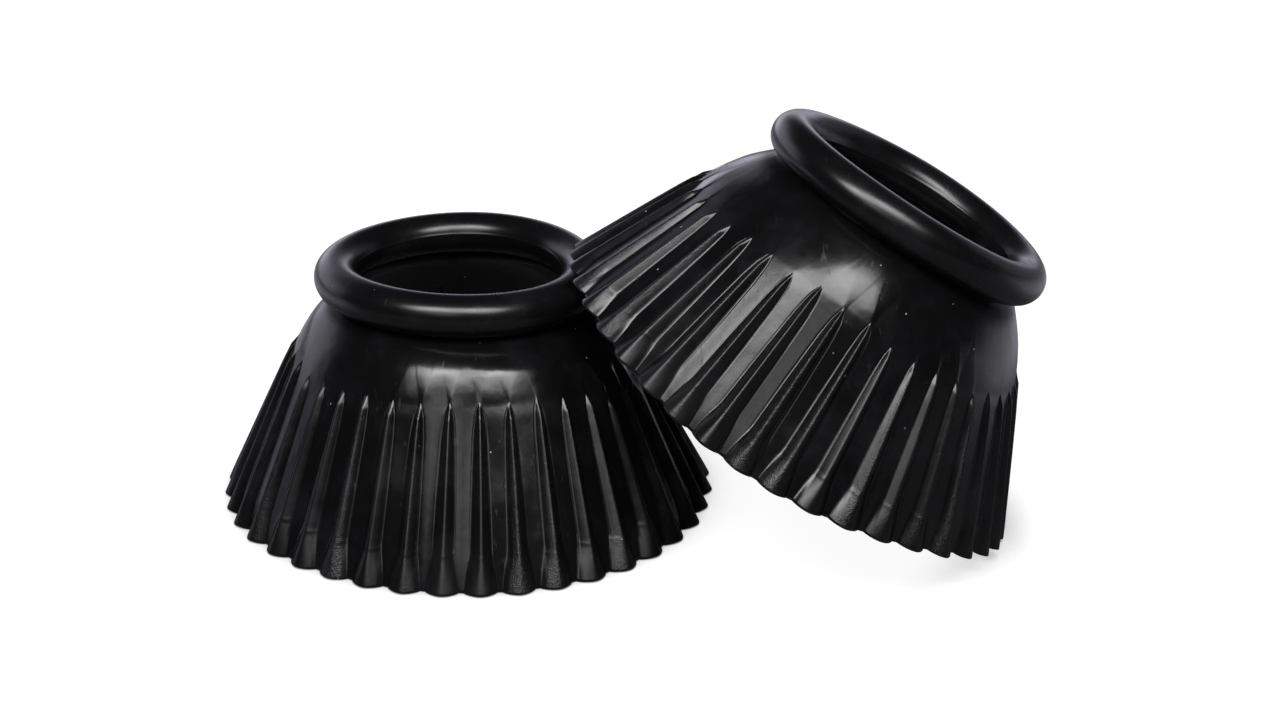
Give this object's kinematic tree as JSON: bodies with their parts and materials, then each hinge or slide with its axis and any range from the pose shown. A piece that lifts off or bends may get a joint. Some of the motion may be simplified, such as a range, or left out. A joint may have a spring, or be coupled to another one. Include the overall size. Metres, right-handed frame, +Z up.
{
  "type": "bell boots",
  "caption": "Pair of ribbed rubber pull-on bell boots for a horse, with round collar beads, one standing and one leaning on it.",
  "frame": {"origin": "on the ground under the middle of the pair's bounding box", "axes": "+Z up, +X from the standing boot towards the leaning boot, -Y towards the viewer"},
  "size_m": [0.3466, 0.2482, 0.1755],
  "materials": {
    "bell_rubber": "satin gloss, moulded",
    "collar_rubber": "smooth satin gloss"
  },
  "bodies": {
    "standing_boot": {"standing_bell": "bell_rubber", "standing_collar": "collar_rubber"},
    "leaning_boot": {"leaning_bell": "bell_rubber", "leaning_collar": "collar_rubber"}
  },
  "joints": [
    {"name": "lift_off", "type": "slide", "parent": "standing_boot", "child": "leaning_boot", "axis": [0, 0, 1], "range_m": [0, 0.12]}
  ]
}
